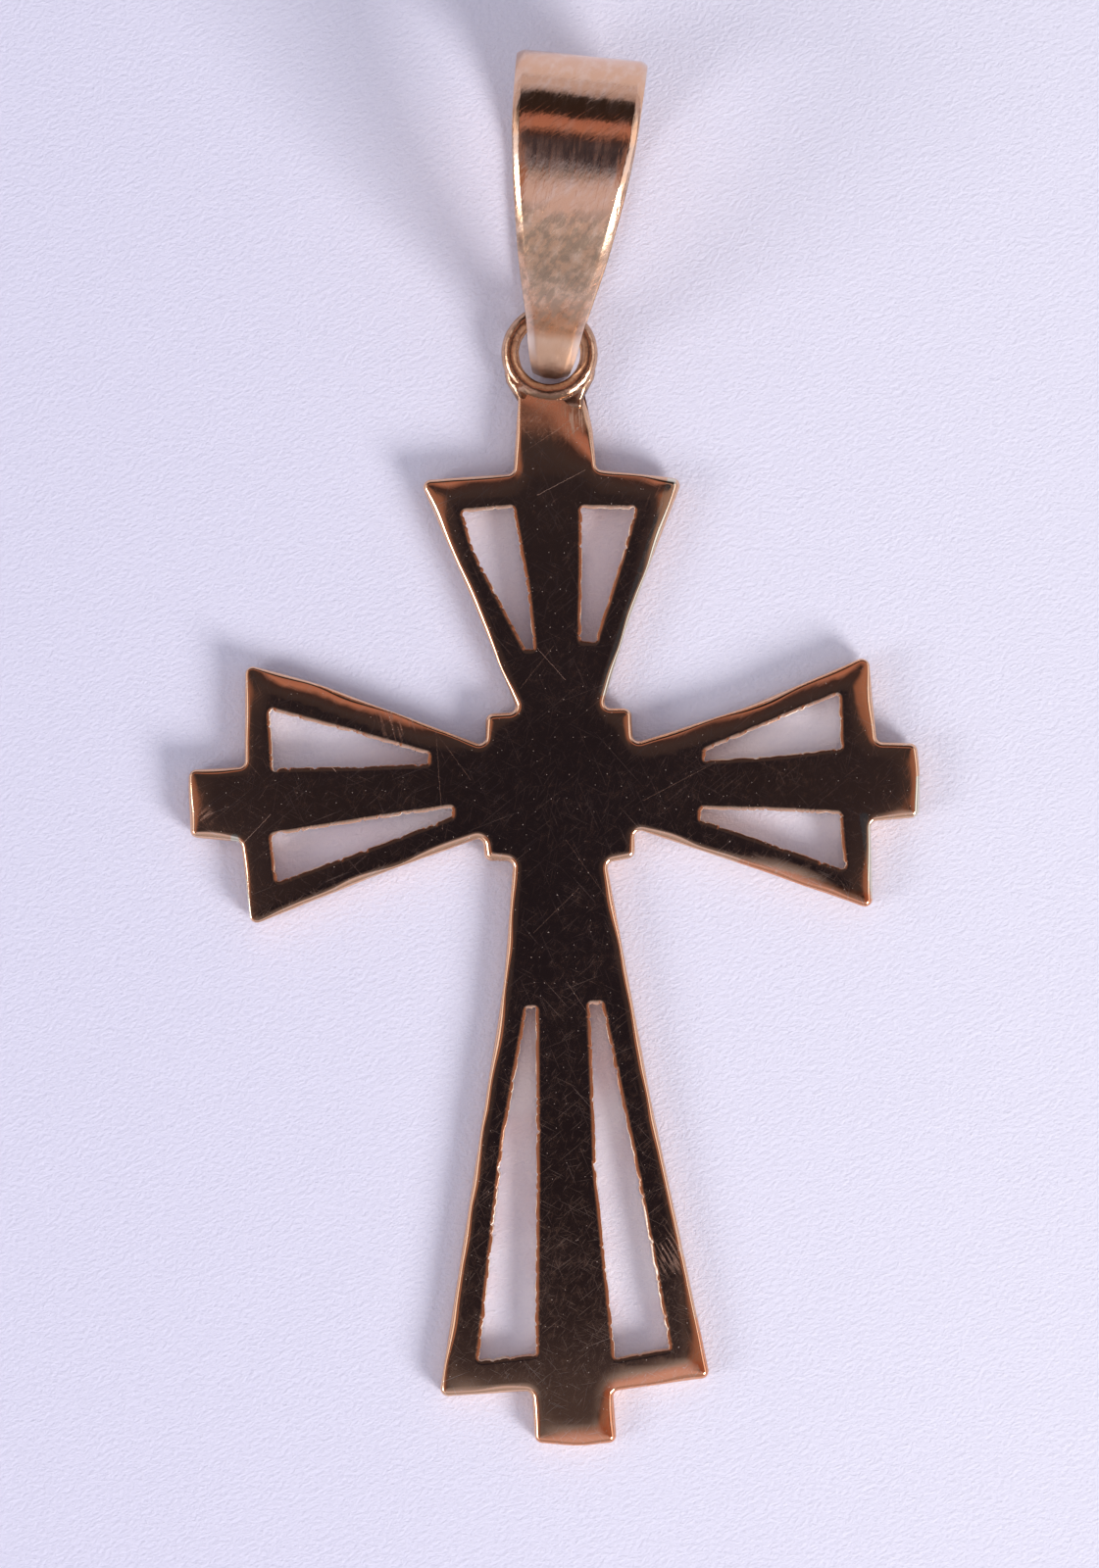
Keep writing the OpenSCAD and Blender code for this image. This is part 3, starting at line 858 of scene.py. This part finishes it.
# Colours of the metal where it is clean and where it is worn or soiled, and colours that stand in for painted
# highlights, reflections and shade
GOLD = (0.8, 0.49, 0.3, 1)
GOLD_PALE = (0.87, 0.64, 0.47, 1)
GOLD_DULL = (0.4, 0.23, 0.14, 1)
# Painted grey-brown mottled reflection on the bail
GOLD_PAINTED_MOTTLE = (0.5, 0.345, 0.23, 1)
GOLD_HAZE = (0.78, 0.52, 0.36, 1)
# Painted orange reflection and painted pale glint for the face's rolled edges
PAINTED_COPPER_REFLECTION = (0.8, 0.36, 0.19, 1)
PAINTED_GLINT_PALE = (0.78, 0.74, 0.58, 1)
SCRATCHED = (0.76, 0.66, 0.55, 1)
DUST = (0.62, 0.56, 0.5, 1)
# The slot walls' painted pale highlight, and a redder gold
SAWN_PAINTED_PALE, SAWN_RED = (0.9, 0.86, 0.72, 1), (0.74, 0.44, 0.28, 1)
WIRE_GOLD, SEAM = (0.66, 0.42, 0.27, 1), (0.22, 0.12, 0.07, 1)
# The bail's painted grey reflection band and painted pale highlight, its painted highlight at the tip and
# painted shade at the very end
STRIP_PAINTED_GREY, STRIP_PAINTED_PALE = (0.66, 0.52, 0.42, 1), (0.92, 0.74, 0.58, 1)
STRIP_TIP_PAINTED_HIGHLIGHT, STRIP_END_PAINTED_SHADE = (1.0, 0.88, 0.74, 1), (0.3, 0.16, 0.09, 1)
# Paper colours for painted shade and painted light across the sheet
PAPER_SHADE, PAPER_LIGHT = (0.805, 0.79, 0.915, 1), (0.915, 0.9, 0.975, 1)

# Places on the face are in millimetres in the row frame
# Long scratches and marks: [x0, y0, x1, y1, width, strength]
LONG_MARKS = [
    [-0.42, 10.46, 1.56, 11.44, 0.016, 0.8], [-2.6, 11.2, 0.6, 13.2, 0.01, 0.5],
    [3.6, -2.1, 8.4, 0.3, 0.01, 0.5], [-3.4, -1.1, -5.2, 1.5, 0.01, 0.5],
    [-9.6, 0.2, -8.9, -0.6, 0.022, 1.0], [-1.0, -7.4, 0.9, -5.6, 0.01, 0.5],
    [0.3, -9.4, 2.2, -12.4, 0.01, 0.5], [-0.55, 4.2, 0.55, 2.9, 0.012, 0.7],
    [-1.3, 2.6, 0.1, 4.3, 0.01, 0.5], [-4.8, 1.3, -4.6, -3.1, 0.014, 0.5],
    [-12.9, -3.6, -11.6, -2.3, 0.014, 0.7], [2.0, -6.0, 0.4, -3.6, 0.01, 0.4],
]
# Brushed patches: [x, y, radius, direction of the strokes in degrees]
BRUSHED = [
    [-3.7, 1.4, 1.2, 98], [-14.3, -2.3, 0.7, 40], [-6.2, 1.6, 1.6, 105],
    [1.3, 13.4, 1.1, 92], [4.5, 10.2, 0.9, 65], [4.4, -20.5, 1.5, 118],
]
# Rolled edges with a painted deeper copper, a painted orange reflection: [x0, y0, x1, y1, width]
PAINTED_COPPER_BANDS = [
    [1.9, -26.2, 5.7, -25.45, 0.85], [5.8, -25.5, 5.5, -23.4, 0.45], [-0.9, -28.4, 2.0, -28.0, 0.95],
    [1.9, -28.0, 2.1, -27.0, 0.9], [7.6, -4.9, 12.9, -6.5, 0.55],
]
# Edges with a painted pale greenish glint: [x0, y0, x1, y1, width]
PAINTED_GLINT_BANDS = [
    [5.1, 11.0, 2.1, 2.4, 0.3], [4.8, -19.0, 6.0, -25.4, 0.3], [12.6, -3.0, 13.0, -6.2, 0.3],
    [14.9, -1.5, 14.8, -3.0, 0.25], [-13.1, -3.2, -12.6, -6.4, 0.25],
]
# Fine scratches all over: [direction in degrees, features for each mm along and across, threshold, strength]
FACE_SCRATCHES = [
    [38, 0.5, 20.0, 0.66, 0.7], [-28, 0.7, 22.0, 0.66, 0.6], [78, 0.8, 24.0, 0.67, 0.6],
    [112, 0.6, 20.0, 0.67, 0.7], [8, 0.9, 22.0, 0.69, 0.5], [55, 1.6, 20.0, 0.66, 0.7],
    [20, 0.25, 16.0, 0.72, 1.0], [-50, 0.3, 16.0, 0.72, 1.0],
]
# The face is least worn around this centre. Distances count less along y, and not along z.
WORN_CENTRE, WORN_SCALE = (0.2, -1.6, 0.0), (1.0, 0.72, 0.0)


def gold_face():
    """The polished front: a mirror, clean in the middle, scratched and hazy towards the arms' ends."""
    m, n = new_material("gold_face")
    mm = n.millimetres()
    _, y, z = n.split(mm)
    worn = n.span(n.vec("DISTANCE", n.vec("MULTIPLY", mm, WORN_SCALE), WORN_CENTRE), 2.2, 9.5, 0.85, 1.0)
    marks = n.times(n.hairlines(mm, 3.1, 0.008, 0.5, 3.0), 0.7)
    for turn, along, across, least, strong in FACE_SCRATCHES:
        marks = n.most(marks, n.times(n.scratches(mm, turn, along, across, least), strong))
    marks = n.times(marks, n.times(worn, 0.8))
    deep = n.strokes(mm, 0.03, LONG_MARKS, wider=1.4)
    marks = n.most(marks, deep)
    dust = n.most(n.specks(n.bent(mm, 0.05), 0.50, 0.024, 0.26), n.specks(n.bent(mm, 0.05), 1.3, 0.022, 0.16))
    haze = n.span(n.noise(mm, 0.32, 3.0, 0.6), 0.38, 0.72)
    cloud = n.times(n.span(n.noise(mm, 3.0, 6.0, 0.8), 0.45, 0.68), worn)
    grit = n.times(n.span(n.noise(mm, 9.0, 3.0, 0.7), 0.60, 0.74), worn)
    streaks = n.noise(n.stretched(mm, 90, 0.5, 7.0), 1.0, 3.0)
    neck = n.span(n.total(y, (streaks, 1.2)), 12.9, 13.9)
    # The painted copper reflection and painted pale glints end above the side walls: the back lies lift above
    # the paper
    lift = n.times(n.math("ADD", y, -SHIFT_Y - FOOT_Y), math.sin(rad(HEAD_LIFT)))
    upper = n.span(n.math("SUBTRACT", z, lift), 0.60, 0.80)
    brush = 0.0
    for px, py, wide, turn in BRUSHED:
        here = n.fade(n.vec("DISTANCE", mm, (px, py, 1.0)), 0.25 * wide, wide)
        brush = n.most(brush, n.times(here, n.scratches(mm, turn, 0.8, 11.0, 0.50)))
    rough = n.total(0.028, (haze, 0.03), (cloud, 0.075), (neck, 0.20), (brush, 0.20), (grit, 0.10),
                    (marks, 0.12), (deep, 0.25), (dust, 0.28), clamp=True)
    colour = n.mix(n.times(haze, 0.3), GOLD, GOLD_HAZE)
    # Painted orange reflection: a deeper copper on some rolled edges
    colour = n.mix(n.times(upper, n.span(n.strokes(mm, 0.10, PAINTED_COPPER_BANDS), 0.15, 0.65)), colour, PAINTED_COPPER_REFLECTION)
    # Painted pale greenish glint on some edges
    colour = n.mix(n.times(upper, n.span(n.strokes(mm, 0.08, PAINTED_GLINT_BANDS), 0.10, 0.50)), colour, PAINTED_GLINT_PALE)
    pale = n.most(n.times(brush, 0.4), n.times(grit, 0.7))
    colour = n.mix(n.most(marks, pale), colour, SCRATCHED)
    colour = n.mix(dust, colour, DUST)
    metal = n.math("SUBTRACT", 1.0, n.times(dust, 0.6))
    finish(n, colour, rough, n.bump(n.times(n.total(marks, (brush, 0.5)), -0.2), 0.15, 2e-5), metal)
    return m


def gold_sawn():
    """The sawn slot walls and their broken edge: matt and striped across by the saw, mostly painted pale as a
    painted highlight, with patches of redder gold.
    """
    m, n = new_material("gold_sawn")
    mm = n.millimetres()
    stripes = n.noise(n.mapping(mm, scale=(9, 9, 0.8)), 1.0, 3.0, 0.6)
    # Mostly a painted pale highlight, with patches of redder gold between
    redder_patches = n.span(n.noise(mm, 0.55, 3.0, 0.6), 0.48, 0.60)
    colour = n.mix(redder_patches, n.mix(stripes, SAWN_PAINTED_PALE, GOLD_PALE), SAWN_RED)
    finish(n, colour, n.span(stripes, 0.3, 0.7, 0.38, 0.60), n.bump(stripes, 0.6, 4e-5))
    return m


def gold_wire():
    """Wire and solder: dull from wear, pitted, soiled in places and dark in the seam at the neck."""
    m, n = new_material("gold_wire")
    mm = n.millimetres()
    pits = n.noise(mm, 5.0, 4.0, 0.65)
    soil = n.span(n.noise(mm, 1.6, 3.0, 0.6), 0.42, 0.70)
    colour = n.mix(n.span(pits, 0.50, 0.72), WIRE_GOLD, GOLD_DULL)
    colour = n.mix(n.times(soil, 0.5), colour, GOLD_DULL)
    _, y, _ = n.split(mm)
    seam = n.span(n.total(y, (n.noise(mm, 1.8, 4.0), 0.7)), 14.95, 15.15, 0.75, 0.0)
    bump = n.bump(n.total(pits, (n.noise(mm, 26.0, 2.0), 0.2)), 0.5, 3e-5)
    finish(n, n.mix(seam, colour, SEAM), n.span(pits, 0.3, 0.8, 0.10, 0.24), bump)
    return m


def gold_strip():
    """The bail: polished along its length, duller and mottled towards its closed end, with painted grey-brown
    reflections, a painted pale highlight near that end and painted shade at the end itself.
    """
    m, n = new_material("gold_strip")
    mm = n.mapping(n.millimetres(), BAIL_LEAN)
    _, along, _ = n.split(mm)
    tip = n.fade(along, 16.5, 17.0)
    low = n.fade(along, 17.0, 19.6)
    end = n.fade(n.total(along, (n.noise(mm, 2.4, 3.0), 0.35)), 15.35, 15.95)
    # Here worn marks the zone of slanting unevenness, where a grey-brown mottled reflection is also painted
    # into the colour
    worn = n.less(n.fade(n.total(along, (n.noise(mm, 1.1, 2.0), 0.8)), 21.5, 22.4), tip)
    dull = n.less(n.span(along, 22.8, 23.4), n.span(along, 24.2, 24.6))
    streaks = n.noise(n.stretched(mm, 90, 0.55, 5.0), 1.0, 3.0, 0.55)
    dents = n.noise(n.stretched(mm, 70, 1.1, 2.4), 1.0, 3.0, 0.6)
    slant = n.noise(n.stretched(mm, 58, 1.0, 4.6), 1.0, 4.0, 0.65)
    blotch = n.noise(mm, 1.9, 4.0, 0.6)
    marks = n.most(n.scratches(mm, 85, 0.6, 16.0, 0.62), n.scratches(mm, 40, 0.9, 18.0, 0.64))
    marks = n.times(marks, n.span(dull, 0.0, 1.0, 1.0, 0.25))
    height = n.total(dents, (streaks, 0.4), (n.times(slant, worn), 1.3), (marks, -0.08))
    spots = n.total(0.0, (slant, 0.5), (blotch, 0.5))
    colour = n.mix(n.span(dents, 0.4, 0.8), GOLD, GOLD_PALE)
    # Painted grey-brown mottled reflection
    colour = n.mix(n.times(worn, n.span(spots, 0.44, 0.57)), colour, GOLD_PAINTED_MOTTLE)
    # Painted grey reflection band
    colour = n.mix(n.times(dull, 0.7), colour, STRIP_PAINTED_GREY)
    # Painted pale highlight towards the closed end
    colour = n.mix(n.times(low, 0.30), colour, STRIP_PAINTED_PALE)
    # Painted highlight at the tip, near white
    colour = n.mix(tip, colour, STRIP_TIP_PAINTED_HIGHLIGHT)
    # Painted shade at the very end, where the strip turns down
    colour = n.mix(n.times(end, 0.9), colour, STRIP_END_PAINTED_SHADE)
    rough = n.total(n.span(dents, 0.3, 0.8, 0.08, 0.17), (marks, 0.05), (tip, 0.20), (low, 0.08),
                    (dull, n.span(streaks, 0.38, 0.62, 0.03, 0.10)),
                    (worn, n.span(slant, 0.3, 0.7, 0.06, 0.22)), clamp=True)
    finish(n, colour, rough, n.bump(height, 0.6, 3e-5))
    return m


def paper():
    """Pale textured paper, with painted light: darker to the left, lighter to the right."""
    m, n = new_material("paper")
    mm = n.millimetres()
    x, _, _ = n.split(mm)
    fibre = n.noise(n.stretched(mm, 25, 4.4, 6.2), 1.0, 5.0, 0.66)
    # Painted light: a tone that rises from left to right, plus the fibre's own grain
    grain_and_painted_light = n.math("ADD", n.span(x, -26.0, 26.0, 0.0, 0.72), n.span(fibre, 0.3, 0.7, 0.0, 0.28))
    bump = n.bump(n.total(fibre, (n.noise(mm, 0.16, 2.0), 0.8)), 0.92, 8e-5)
    finish(n, n.mix(grain_and_painted_light, PAPER_SHADE, PAPER_LIGHT), 0.9, bump, metal=0.0, specular=0.2)
    return m


# The scene
face, sawn_wall, wire, strip = gold_face(), gold_sawn(), gold_wire(), gold_strip()
plate = build_plate([face, sawn_wall])
ring = build_ring([wire])
solder = build_solder([wire])
bail = build_bail([strip])
for obj, node, place_in in ((plate, "cross_plate", "plate_gold"), (ring, None, "plate_gold"),
                            (solder, None, "plate_gold"), (bail, "bail", "bail_gold")):
    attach(obj, "root")
    if node:
        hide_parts(node)


FLOOR = 0.6    # half the paper's side, in metres
mesh = bpy.data.meshes.new("paper_sheet")
mesh.from_pydata([(-FLOOR, -FLOOR, 0), (FLOOR, -FLOOR, 0), (FLOOR, FLOOR, 0), (-FLOOR, FLOOR, 0)], [],
                 [(0, 1, 2, 3)])
mesh.materials.append(paper())
floor = new_object("paper_sheet", mesh)

# Two soft lamps low on the near side: [name, direction, degrees above the paper, watts]
LAMP_FAR, LAMP_WIDE = 0.85, 0.36    # metres
LAMP_TINT = (1.0, 0.97, 1.0)
LAMPS = [("lamp_right", (0.72, -0.69), 30, 5.9), ("lamp_left", (-0.95, -0.31), 30, 1.80)]
for name, side, up, watts in LAMPS:
    data = bpy.data.lights.new(name, "AREA")
    data.shape = "DISK"
    data.size = LAMP_WIDE
    data.energy = watts
    data.color = LAMP_TINT
    lamp = new_object(name, data)
    flat = Vector(side).normalized() * math.cos(rad(up))
    away = Vector((flat.x, flat.y, math.sin(rad(up))))
    lamp.location = away * LAMP_FAR
    lamp.rotation_mode = "QUATERNION"
    lamp.rotation_quaternion = away.to_track_quat("Z", "Y")


# The room that the gold reflects, in three directions: [degrees from overhead, red, green, blue]
ROOM_FAR = [
    (0, .022, .021, .034), (1.0, .03, .028, .04), (2.0, .045, .038, .048), (7, .055, .048, .06),
    (17.0, .06, .04, .045), (22.5, .3, .16, .14), (25.5, .48, .25, .21), (35.5, .43, .21, .18),
    (40.5, .035, .025, .026), (65, .032, .025, .026), (71, .42, .38, .46), (79, .6, .56, .68),
    (90, .6, .57, .7),
]
ROOM_NEAR = [
    (0, .02, .019, .031), (1.5, .016, .016, .028), (3.5, .017, .016, .028), (4.7, .021, .019, .03),
    (5.4, .075, .066, .085), (6.2, .12, .11, .13), (7.5, .18, .18, .22), (10, .29, .29, .35),
    (13, .43, .42, .52), (17, .6, .56, .7), (21, .69, .65, .8), (39.5, .69, .65, .8),
    (43, .52, .51, .59), (60, .48, .47, .55), (90, .42, .42, .5),
]
ROOM_SIDE = [
    (0, .02, .019, .031), (1.8, .02, .019, .031), (3.0, .042, .037, .05), (7, .06, .05, .06),
    (11, .3, .16, .13), (24, .42, .23, .18), (34, .36, .19, .16), (37, .06, .05, .05),
    (43, .06, .05, .05), (48, 1.2, 1.12, 1.2), (72, 1.2, 1.12, 1.2), (78, .38, .35, .42),
    (90, .34, .32, .4),
]
ROOM_LIGHT = (0.415, 0.415, 0.50, 1)    # what the paper gets from the room
world = bpy.data.worlds.new("room")
bpy.context.scene.world = world
world.use_nodes = True
n = Nodes(world.node_tree)
_, far_way, up_way = n.split(n.new("ShaderNodeTexCoord").outputs["Generated"])
down = n.math("ARCCOSINE", n.math("MINIMUM", n.most(up_way, -1.0), 1.0))
level = n.math("DIVIDE", down, math.pi / 2, clamp=True)


def room(rows):
    ramp = n.new("ShaderNodeValToRGB", {0: level})
    e = ramp.color_ramp.elements
    while len(e) > 1:
        e.remove(e[-1])
    for k, (deg, *shade) in enumerate(rows):
        spot = e.new(deg / 90) if k else e[0]
        spot.position = deg / 90
        spot.color = (*shade, 1)
    return ramp.outputs[0]


flat_len = n.most(n.math("SQRT", n.math("SUBTRACT", 1.0, n.times(up_way, up_way))), 1e-4)
toward = n.math("DIVIDE", far_way, flat_len)
colour = n.mix(n.span(toward, 0.25, 0.80), room(ROOM_SIDE), room(ROOM_FAR))
colour = n.mix(n.span(toward, -0.70, -0.95), colour, room(ROOM_NEAR))
rays = n.new("ShaderNodeLightPath")
colour = n.mix(rays.outputs["Is Diffuse Ray"], colour, ROOM_LIGHT)
background = n.new("ShaderNodeBackground", {0: colour})
n.new("ShaderNodeOutputWorld", {0: background.outputs[0]})

scene = bpy.context.scene
scene.view_settings.view_transform = "Standard"
scene.view_settings.look = "None"

# The camera, straight above: where it looks, in millimetres, and its turn in degrees
CAM_HEIGHT, CAM_TURN = 350.0, 1.36
CAM_OVER = (-0.42, 0.01)
SENSOR, LENS = 36, 196.2
data = bpy.data.cameras.new("camera")
data.sensor_width, data.lens = SENSOR, LENS
data.clip_start, data.clip_end = 0.01, 10
cam = new_object("camera", data)
cam.location = Vector((CAM_OVER[0] + SHIFT_X, CAM_OVER[1] + SHIFT_Y, CAM_HEIGHT)) * MM
cam.rotation_euler = (0, 0, -rad(CAM_TURN))
scene.camera = cam
